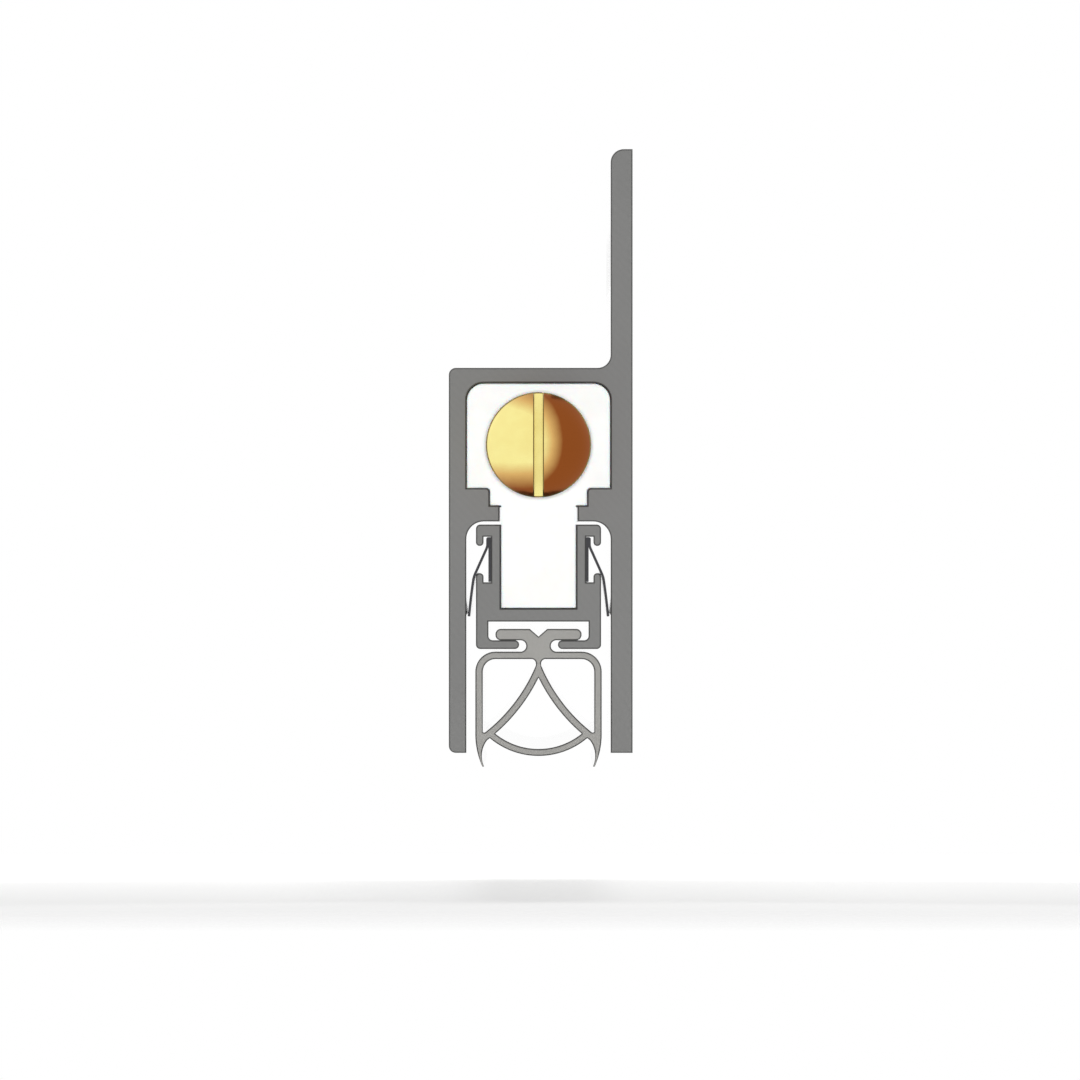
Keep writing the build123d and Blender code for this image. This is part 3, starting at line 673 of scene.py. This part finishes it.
def new_piece(name, vertices, faces, finish):
    """A mesh object at the origin, with its place in its mesh."""
    mesh = bpy.data.meshes.new(name)
    mesh.from_pydata(vertices, [], faces)
    mesh.materials.append(finish)
    piece = bpy.data.objects.new(name, mesh)
    bpy.context.scene.collection.objects.link(piece)
    return piece


def shade_smooth(mesh, angle):
    """Smooth shading, with a sharp edge where faces meet at more than the angle."""
    mesh.shade_smooth()
    mesh.set_sharp_from_angle(angle=math.radians(angle))


def extruded(name, groups, rows, cut_edge, finish, sway):
    """A section in millimetres from the centre line, run along the seal, with worn edges at its ends that
    carry a rim weight for painted edge shade.

    sway moves a section point, given the share of the way along and the point.
    """
    smooth_angle = 32
    points, triangles = fill_section(groups)
    edges = rim_edges(triangles)
    inset = inset_points(points, edges, cut_edge)
    rim = sorted(inset)
    cap = fill_cap(edges, inset)
    vertices, faces, edge_shade_weights = [], [], []

    def ring(numbers, places, y):
        """Adds one row of vertices and says which number went where."""
        share = (y - front_end) / (back_end - front_end)
        where = {}
        for number in numbers:
            x, z = sway(share, *places[number])
            where[number] = len(vertices)
            vertices.append((centre_x + x * MM, y, z * MM))
        return where

    bevel = cut_edge * MM / 2
    run = back_end - front_end - 2 * bevel
    stations = [front_end + bevel + run * i / rows for i in range(rows + 1)]
    front_cap = ring(inset, inset, front_end)
    walls = [ring(rim, points, y) for y in stations]
    back_cap = ring(inset, inset, back_end)
    for t in cap:
        faces.append([front_cap[n] for n in t])
        faces.append([back_cap[n] for n in reversed(t)])
        edge_shade_weights.extend([0.0] * 6)
    for a, b in edges:
        faces.append([front_cap[a], walls[0][a], walls[0][b], front_cap[b]])
        edge_shade_weights.extend([0.0, 1.0, 1.0, 0.0])
        for near, far in zip(walls, walls[1:]):
            faces.append([near[a], far[a], far[b], near[b]])
            edge_shade_weights.extend([0.0] * 4)
        faces.append([walls[-1][a], back_cap[a], back_cap[b], walls[-1][b]])
        edge_shade_weights.extend([1.0, 0.0, 0.0, 1.0])
    piece = new_piece(name, vertices, faces, finish)
    # Painted shade: the rim attribute weights the dark edge colour on each end bevel, 1 where it meets the
    # side walls and 0 on the caps.
    piece.data.attributes.new("rim", "FLOAT", "CORNER").data.foreach_set("value", edge_shade_weights)
    shade_smooth(piece.data, smooth_angle)
    for polygon in piece.data.polygons[:2 * len(cap)]:
        polygon.use_smooth = False
    return piece


def wander(share, seed):
    """A slow, smooth wander along the seal that is nothing at both ends."""
    faded_share = 0.06
    fade = min(1.0, share / faded_share, (1 - share) / faded_share)
    waves = ((7.0, 0.5), (17.0, 0.3), (31.0, 0.2))
    return fade * sum(size * math.sin(math.tau * pitch * share + seed * pitch) for pitch, size in waves)


def gasket_groups(sizes):
    """The gasket's section: bulb, head, waist, ribs, bow and lips, in millimetres."""
    half_bulb = sizes.bulb_width / 2 / MM
    top, foot = sizes.bulb_top / MM, sizes.bulb_foot / MM
    wall, corner = sizes.bulb_wall / MM, sizes.bulb_corner / MM
    inner = half_bulb - wall
    head_low = sizes.head_bottom / MM
    head_high = head_low + sizes.head_thickness / MM
    half_head = sizes.head_width / 2 / MM
    almost_half = 0.47
    head_round = sizes.head_thickness / MM * almost_half
    half_notch = sizes.notch_width / 2 / MM
    waist_round = (head_low - top) / 2
    waist = sizes.stem_width / 2 / MM + waist_round
    overlap = 0.3

    bulb = ([rounded_box(-half_bulb, half_bulb, foot, top, (0, 0, corner, corner), 14)],
            [rounded_box(-inner, inner, foot - 1, top - wall, (0, 0, corner - wall, corner - wall), 12)])
    notch = [(-half_notch, head_high), (0, head_high - sizes.notch_depth / MM), (half_notch, head_high)]
    head = ([rounded_box(-half_head, half_head, head_low, head_high, (head_round,) * 4)], [notch])
    cuts = []
    for side in (-1, 1):
        round_cut = (side * waist - waist_round, side * waist + waist_round, top, head_low)
        cuts.append(rounded_box(*round_cut, (waist_round * 0.999,) * 4))
    middle = ([rounded_box(-waist, waist, top - wall / 2, head_low + overlap, (0,) * 4)], cuts)

    apex_drop, apex_overlap = 1.77, 0.08
    neck_half, neck_round, neck_top, into_wall = 0.3, 0.5, top - wall, 0.05
    bulge = neck_round * (1 - math.sqrt(0.5))
    neck_side = arc_through(
        (neck_half, neck_top - neck_round),
        (neck_half + bulge, neck_top - bulge),
        (neck_half + neck_round, neck_top), 8,
    )
    neck_end = (neck_half + neck_round, neck_top + into_wall)
    neck_right = [(neck_half, top - apex_drop), *neck_side, neck_end]
    neck = ([neck_right + mirrored(neck_right)[::-1]], [])

    rib_middle_inset, rib_middle_drop = 5.22, 5.52
    rib_end_inset, rib_end_drop = 1.02, 0.3
    rib_start = (-apex_overlap, top - apex_drop)
    rib_middle = (half_bulb - rib_middle_inset, top - rib_middle_drop)
    rib_end = (half_bulb - rib_end_inset, foot - rib_end_drop)
    rib_path = arc_through(rib_start, rib_middle, rib_end, 30)
    bow_inset, bow_drop = 1.86, 1.98
    half_bow = half_bulb - bow_inset
    bow_path = arc_through((-half_bow, foot), (0, foot - bow_drop), (half_bow, foot), 44)
    bow_widths = [sizes.bow_wall / MM] * len(bow_path)

    length, tip = sizes.lip_length / MM, sizes.lip_tip / MM
    belly_share, belly_inset, tip_inset, root_inset = 0.44, 0.16, 0.8, 1.59
    root_rise, root_drop, bow_overlap = 0.4, 0.3, 0.2
    lip_end, belly = foot - length, foot - belly_share * length
    outer_root, inner_root = (half_bulb, foot + root_rise), (half_bulb - root_inset, foot - root_drop)
    outside = (outer_root, (half_bulb - belly_inset, belly), (half_bulb - tip_inset, lip_end))
    inside = ((half_bulb - tip_inset - tip, lip_end), (inner, belly), inner_root)
    lip_close = (half_bow - bow_overlap, foot + bow_overlap)
    lip = [*arc_through(*outside, 20), *arc_through(*inside, 20), lip_close]

    groups = [bulb, head, middle, neck, ([strip(bow_path, bow_widths)], [])]
    for flip in (list, mirrored):
        groups.append(([strip(flip(rib_path), [wall] * len(rib_path))], []))
        groups.append(([flip(lip)], []))
    return groups


def bend(before, corner, after, steps=6):
    """Points of a smooth bend between two straight runs."""
    points = []
    for i in range(steps + 1):
        share = i / steps
        first = Vector(before).lerp(Vector(corner), share)
        second = Vector(corner).lerp(Vector(after), share)
        points.append(tuple(first.lerp(second, share)))
    return points


def fin_groups(sizes, side):
    """A fin's section: the strip in the groove, the fold at its top and the leaf that leans outward."""
    thick = sizes.thickness / MM
    near, bottom, top = 5.43, 19.54, 24.66
    fold_x, fold_end, overlap = 5.83, 23.6, 0.1
    foot_round, outer_round, inner_round = 0.08, 0.24, 0.1
    fold_run, fold_share, hook_share = 0.25, 0.07, 0.12
    hook, leaf_middle, leaf_end = (7.4, 20.11), (7.705, 17.86), (7.95, 15.6)
    seat = rounded_box(near, near + thick, bottom, top, (foot_round, foot_round, 0, 0), 4)
    fold_box = (near, fold_x + thick / 2, fold_end - overlap, top)
    fold = rounded_box(*fold_box, (0, 0, outer_round, inner_round), 6)
    leaf = arc_through(hook, leaf_middle, leaf_end, 22)
    corner = Vector((fold_x, fold_end))
    slant = Vector(hook) - corner
    path = bend((fold_x, fold_end + fold_run), corner, corner + slant * fold_share)
    path += bend(Vector(hook) - slant * hook_share, hook, leaf[2]) + leaf[3:]
    outline = strip(path, [thick] * len(path))
    return [([[(side * x, z) for x, z in part]], []) for part in (seat, fold, outline)]


class SEAL_OT_finishes(bpy.types.Operator):
    """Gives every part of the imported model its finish"""

    bl_idname = "door_seal.finishes"
    bl_label = "Finishes"

    def execute(self, context):
        finishes = make_finishes()
        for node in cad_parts.values():
            for slot in node.material_slots:
                name = slot.material.name.split(".")[0]
                slot.material = finishes[name]
        return {"FINISHED"}


class SEAL_OT_gasket(bpy.types.Operator):
    """Makes the hollow silicone gasket with its ribs, bow and lips"""

    bl_idname = "door_seal.gasket"
    bl_label = "Gasket"

    def execute(self, context):
        sizes = settings().gasket
        foot, reach, wave = sizes.bulb_foot / MM, sizes.lip_length / MM, sizes.lip_wave / MM
        still_half = 2.03

        def sway(share, x, z):
            weight = min(1.0, max(0.0, (foot - z) / reach)) ** 2
            side = math.copysign(1.0, x) if abs(x) > still_half else 0.0
            return x + side * weight * wave * wander(share, 0.4 + side), z

        groups, cut_edge = gasket_groups(sizes), sizes.cut_edge / MM
        piece = extruded("gasket_extrusion", groups, sizes.rows, cut_edge, finish_of("silicone"), sway)
        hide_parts("gasket")
        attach(piece, "carrier")
        return {"FINISHED"}


class SEAL_OT_fins(bpy.types.Operator):
    """Makes the two thin side fins that wipe the casing's walls"""

    bl_idname = "door_seal.fins"
    bl_label = "Side fins"

    def execute(self, context):
        sizes = settings().fins
        for side, node in ((-1, "fin_left"), (1, "fin_right")):

            def sway(share, x, z, side=side):
                held, free = 6.2, 1.9
                weight = min(1.0, max(0.0, (abs(x) - held) / free)) ** 2
                return x + side * weight * sizes.wave / MM * wander(share, 1.3 + side), z

            groups, cut_edge = fin_groups(sizes, side), sizes.cut_edge / MM
            piece = extruded(node + "_strip", groups, sizes.rows, cut_edge, finish_of("fin_strip"), sway)
            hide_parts(node)
            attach(piece, "carrier")
        return {"FINISHED"}


def leaf_piece(name, low, high, holes, sizes):
    """A leaf spring as a plate with round corners and screw holes, divided along its length."""
    half_width = (high.x - low.x) / 2 / MM
    middle_x = (low.x + high.x) / 2
    start, stop = low.y / MM, high.y / MM
    step = sizes.leaf_step / MM
    corner, hole_radius = sizes.leaf_corner / MM, sizes.leaf_hole / MM
    count = round((stop - start) / step)
    stations = [start + (stop - start) * i / count for i in range(1, count)]
    box_outline = rounded_box(-half_width, half_width, start, stop, (corner,) * 4, 6)
    outline = []
    corner_room, hole_room, inner_share = 0.2, 0.3, 0.6
    for here, after in zip(box_outline, box_outline[1:] + box_outline[:1]):
        outline.append(here)
        first, last = sorted((here[1], after[1]))
        if last - first > 2 * step:
            between = [y for y in stations if first + corner_room < y < last - corner_room]
            outline.extend((here[0], y) for y in (between if after[1] > here[1] else between[::-1]))
    hole_sides = 28
    turns = [math.tau * i / hole_sides for i in range(hole_sides)]
    rings = [[(hole_radius * math.cos(t), y + hole_radius * math.sin(t)) for t in turns] for y in holes]
    inner = []
    for y in stations:
        for x in (-half_width * inner_share, 0, half_width * inner_share):
            if all(math.hypot(x, y - hole) > hole_radius + hole_room for hole in holes):
                inner.append((x, y))
    points, triangles = fill_section([([outline], rings)], inner)
    edges = rim_edges(triangles)
    used = sorted({number for t in triangles for number in t})
    where = {number: i for i, number in enumerate(used)}
    total = len(used)
    vertices = [(middle_x + points[n][0] * MM, points[n][1] * MM, high.z) for n in used]
    vertices += [(x, y, low.z) for x, y, _ in vertices]
    faces = [[where[n] for n in t] for t in triangles]
    faces += [[where[n] + total for n in reversed(t)] for t in triangles]
    faces += [[where[a], where[a] + total, where[b] + total, where[b]] for a, b in edges]
    piece = new_piece(name, vertices, faces, finish_of("spring_steel"))
    shade_smooth(piece.data, 40)
    return piece


class SEAL_OT_leaf_springs(bpy.types.Operator):
    """Makes the flat springs that lift the carrier, as plates divided along their length"""

    bl_idname = "door_seal.leaf_springs"
    bl_label = "Leaf springs"

    def execute(self, context):
        sizes = settings().springs
        for unit in ("1", "2"):
            low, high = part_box("leaf_spring_" + unit)
            holes = []
            for screw in ("leaf_front_screw_", "leaf_rear_screw_"):
                screw_low, screw_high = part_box(screw + unit)
                holes.append((screw_low.y + screw_high.y) / 2 / MM)
            piece = leaf_piece("leaf_spring_strip_" + unit, low, high, holes, sizes)
            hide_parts("leaf_spring_" + unit)
            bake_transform(piece)
        return {"FINISHED"}


def coil_tree(finish):
    """Geometry nodes of a compression spring with closed ends, along Y."""
    tree = bpy.data.node_groups.new("Compression spring", "GeometryNodeTree")
    tree.interface.new_socket("Spring", in_out="OUTPUT", socket_type="NodeSocketGeometry")
    for label in ("Length", "Coil radius", "Wire radius", "Turns", "Closed turns"):
        tree.interface.new_socket(label, in_out="INPUT", socket_type="NodeSocketFloat")
    tree.interface.new_socket("Sides", in_out="INPUT", socket_type="NodeSocketInt")
    tree.interface.new_socket("Start", in_out="INPUT", socket_type="NodeSocketVector")
    given = tree.nodes.new("NodeGroupInput").outputs

    turn_steps, closed_pitch = 30, 2.1
    line = out(tree, "GeometryNodeCurvePrimitiveLine", {"Start": (0, 0, 0), "End": (1, 0, 0)})
    steps = times(tree, given["Turns"], turn_steps)
    path = out(tree, "GeometryNodeResampleCurve", {"Curve": line, "Count": steps})
    share = add(tree, "GeometryNodeSplineParameter").outputs["Factor"]
    turn = times(tree, times(tree, share, given["Turns"]), math.tau)
    x = times(tree, math_node(tree, "COSINE", turn), given["Coil radius"])
    z = times(tree, math_node(tree, "SINE", turn), given["Coil radius"])

    end_share = math_node(tree, "DIVIDE", given["Closed turns"], given["Turns"])
    far_share = minus(tree, 1.0, end_share)
    pitch = times(tree, given["Wire radius"], closed_pitch)
    end_run = times(tree, given["Closed turns"], pitch)
    travel = minus(tree, given["Length"], times(tree, given["Wire radius"], 2))
    open_run = minus(tree, travel, times(tree, end_run, 2))
    along = given["Wire radius"]
    for start, stop, run in (
        (0.0, end_share, end_run), (end_share, far_share, open_run), (far_share, 1.0, end_run),
    ):
        along = plus(tree, along, remap(tree, share, 0.0, run, start, stop))
    place = out(tree, "ShaderNodeCombineXYZ", {0: x, 1: along, 2: z})
    place = out(tree, "ShaderNodeVectorMath", {0: place, 1: given["Start"]}, operation="ADD")
    coil = out(tree, "GeometryNodeSetPosition", {"Geometry": path, "Position": place})
    wire = {"Resolution": given["Sides"], "Radius": given["Wire radius"]}
    round_wire = out(tree, "GeometryNodeCurvePrimitiveCircle", wire)
    sweep = {"Curve": coil, "Profile Curve": round_wire, "Fill Caps": True}
    body = out(tree, "GeometryNodeCurveToMesh", sweep)
    smooth = out(tree, "GeometryNodeSetShadeSmooth", {"Geometry": body})
    real = out(tree, "GeometryNodeRealizeInstances", {"Geometry": smooth})
    dressed = out(tree, "GeometryNodeSetMaterial", {"Geometry": real, "Material": finish})
    add(tree, "NodeGroupOutput", {0: dressed})
    return tree


def grown(name, tree, inputs):
    """The mesh that a geometry tree gives for named inputs, as a plain object."""
    holder = bpy.data.objects.new(name + "_holder", bpy.data.meshes.new(name + "_holder"))
    bpy.context.scene.collection.objects.link(holder)
    modifier = holder.modifiers.new("Build", "NODES")
    modifier.node_group = tree
    for item in tree.interface.items_tree:
        if item.in_out == "INPUT":
            modifier[item.identifier] = inputs[item.name]
    bpy.context.view_layer.update()
    evaluated = holder.evaluated_get(bpy.context.evaluated_depsgraph_get())
    mesh = bpy.data.meshes.new_from_object(evaluated)
    mesh.name = name
    bpy.data.objects.remove(holder)
    if not mesh.polygons:
        raise RuntimeError(f"the geometry nodes gave no mesh for {name}")
    piece = bpy.data.objects.new(name, mesh)
    bpy.context.scene.collection.objects.link(piece)
    return piece


class SEAL_OT_return_springs(bpy.types.Operator):
    """Makes the two coil springs that push the rod back out"""

    bl_idname = "door_seal.return_springs"
    bl_label = "Return springs"

    def execute(self, context):
        sizes = settings().springs
        tree = coil_tree(finish_of("spring_steel"))
        for unit in ("1", "2"):
            low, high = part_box("return_spring_" + unit)
            collar_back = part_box("spring_collar_" + unit)[1].y
            block_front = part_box("fixed_block_" + unit)[0].y
            outside = (high.z - low.z) / 2
            inputs = {
                "Length": block_front - collar_back,
                "Coil radius": outside - sizes.wire_radius,
                "Wire radius": sizes.wire_radius,
                "Turns": sizes.turns,
                "Closed turns": sizes.closed_turns,
                "Sides": sizes.sides,
                "Start": (centre_x, collar_back, (low.z + high.z) / 2),
            }
            piece = grown("return_spring_coil_" + unit, tree, inputs)
            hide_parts("return_spring_" + unit)
            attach(piece, "casing")
            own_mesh(piece)
        return {"FINISHED"}


def soft_lamp(name, place, target, size, level):
    """A square soft box; level is how bright it makes a white face that looks at it."""
    data = bpy.data.lights.new(name, "AREA")
    data.shape = "SQUARE"
    data.size = size
    offset = Vector(target) - Vector(place)
    data.energy = level * math.pi ** 2 * offset.length_squared
    lamp = bpy.data.objects.new(name, data)
    lamp.location = place
    lamp.rotation_euler = offset.to_track_quat("-Z", "Y").to_euler()
    bpy.context.scene.collection.objects.link(lamp)
    return lamp


def floor_finish(radius):
    """Pale floor that fades into the white backdrop at its rim."""
    finish = bpy.data.materials.new("pale_floor")
    finish.use_nodes = True
    tree = finish.node_tree
    tree.nodes.clear()
    place = add(tree, "ShaderNodeTexCoord").outputs["Object"]
    fade = remap(tree, length_of(tree, place), 0, 1, radius * 0.55, radius)
    speck = grain(tree, place, (420, 420, 420), 2.0)
    tone = blend_colours(tree, remap(tree, speck, 0, 1), (0.91, 0.91, 0.905), (0.93, 0.93, 0.925))
    matt = out(tree, "ShaderNodeBsdfDiffuse", {"Color": tone})
    white = out(tree, "ShaderNodeEmission", {"Color": (1, 1, 1, 1), "Strength": 1.0})
    rays = add(tree, "ShaderNodeLightPath").outputs
    share = larger(tree, times(tree, rays["Is Camera Ray"], 0.5), rays["Is Glossy Ray"])
    pale = out(tree, "ShaderNodeMixShader", {0: share, 1: matt, 2: white})
    clear = out(tree, "ShaderNodeBsdfTransparent")
    surface = out(tree, "ShaderNodeMixShader", {0: fade, 1: pale, 2: clear})
    add(tree, "ShaderNodeOutputMaterial", {"Surface": surface})
    return finish


class SEAL_OT_stage(bpy.types.Operator):
    """Sets the floor, the backdrop, the lamps and the camera"""

    bl_idname = "door_seal.stage"
    bl_label = "Stage"

    def execute(self, context):
        stage = settings().stage
        self.make_world(stage)
        self.make_floor(stage)
        self.make_lamps()
        self.make_camera(stage)
        bpy.context.scene.view_settings.view_transform = "Standard"
        return {"FINISHED"}

    def make_world(self, stage):
        """White to the camera and to metal, softer as a light."""
        world = bpy.data.worlds.new("backdrop")
        world.use_nodes = True
        bpy.context.scene.world = world
        tree = world.node_tree
        tree.nodes.clear()
        rays = add(tree, "ShaderNodeLightPath").outputs
        seen = larger(tree, rays["Is Camera Ray"], rays["Is Glossy Ray"])
        seen = larger(tree, seen, rays["Is Transmission Ray"])
        soft = out(tree, "ShaderNodeBackground", {"Color": (1, 1, 1, 1), "Strength": stage.ambient})
        white = out(tree, "ShaderNodeBackground", {"Color": (1, 1, 1, 1), "Strength": 1.0})
        mix = out(tree, "ShaderNodeMixShader", {0: seen, 1: soft, 2: white})
        add(tree, "ShaderNodeOutputWorld", {"Surface": mix})

    def make_floor(self, stage):
        """A round floor just under the seal's lowest reach."""
        radius, height = stage.floor_radius, -stage.floor_drop
        rings, sides = 6, 64
        vertices, faces = [(0, 0, height)], []
        for ring in range(1, rings + 1):
            for side in range(sides):
                turn = math.tau * side / sides
                reach = radius * ring / rings
                vertices.append((reach * math.cos(turn), reach * math.sin(turn), height))
        for side in range(sides):
            after = (side + 1) % sides
            faces.append([0, 1 + side, 1 + after])
            for ring in range(rings - 1):
                inner, outer = 1 + ring * sides, 1 + (ring + 1) * sides
                faces.append([inner + side, outer + side, outer + after, inner + after])
        floor = new_piece("floor", vertices, faces, floor_finish(radius))

    def make_lamps(self):
        """Soft boxes all round. The front one stands behind the camera.

        The others stand behind the seal's near end, so that its domed knob doesn't mirror them.
        """
        target = (centre_x, 0, 20 * MM)
        near_end = (centre_x, front_end, 25 * MM)
        lamps = (
            ("lamp_front", (centre_x, -6.2, 0.04), near_end, 0.2, 1.02, False),
            ("lamp_back", (centre_x + 0.3, 3.2, 0.7), target, 1.3, 0.7, False),
            ("lamp_top", (0, 1.3, 1.4), target, 0.9, 0.6, True),
            ("lamp_left", (-1.5, 1.9, 0.8), target, 0.8, 0.76, True),
            ("lamp_right", (1.5, 1.9, 0.8), target, 0.8, 0.68, True),
        )
        for name, place, aim, size, level, mirrored_in_metal in lamps:
            soft_lamp(name, place, aim, size, level).visible_glossy = mirrored_in_metal

    def make_camera(self, stage):
        """Square on to the seal's near end, from far away."""
        data = bpy.data.cameras.new("camera")
        data.type = "PERSP"
        data.sensor_width = 36.0
        data.lens = data.sensor_width * stage.distance / stage.view_width
        data.clip_start, data.clip_end = 0.1, 40.0
        camera = bpy.data.objects.new("camera", data)
        camera.location = (stage.view_x, front_end - stage.distance, stage.view_z)
        camera.rotation_euler = (math.pi / 2, 0, 0)
        bpy.context.scene.collection.objects.link(camera)
        bpy.context.scene.camera = camera


OPERATORS = (
    SEAL_OT_finishes, SEAL_OT_gasket, SEAL_OT_fins,
    SEAL_OT_leaf_springs, SEAL_OT_return_springs, SEAL_OT_stage,
)


class SEAL_PT_panel(bpy.types.Panel):
    """Lists the seal's pieces in the sidebar"""

    bl_idname = "SEAL_PT_panel"
    bl_label = "Door seal"
    bl_space_type = "VIEW_3D"
    bl_region_type = "UI"
    bl_category = "Door seal"

    def draw(self, context):
        for operator in OPERATORS:
            self.layout.operator(operator.bl_idname)
        groups = context.scene.door_seal
        for group in (groups.gasket, groups.fins, groups.springs, groups.colours, groups.stage):
            box = self.layout.box()
            box.label(text=group.bl_rna.description)
            for key in group.bl_rna.properties.keys():
                if key not in ("rna_type", "name"):
                    box.prop(group, key)


CLASSES = (
    GasketSizes, FinSizes, SpringSizes, SealColours, StageSettings, DoorSealSettings,
    *OPERATORS, SEAL_PT_panel,
)


def register():
    """Adds the classes and the scene's settings."""
    for item in CLASSES:
        bpy.utils.register_class(item)
    bpy.types.Scene.door_seal = PointerProperty(type=DoorSealSettings)


def unregister():
    """Takes the classes and the scene's settings away again."""
    del bpy.types.Scene.door_seal
    for item in reversed(CLASSES):
        bpy.utils.unregister_class(item)


def main():
    """Builds every piece."""
    register()
    bpy.ops.door_seal.finishes()
    bpy.ops.door_seal.gasket()
    bpy.ops.door_seal.fins()
    bpy.ops.door_seal.leaf_springs()
    bpy.ops.door_seal.return_springs()
    bpy.ops.door_seal.stage()


if __name__ == "__main__":
    main()
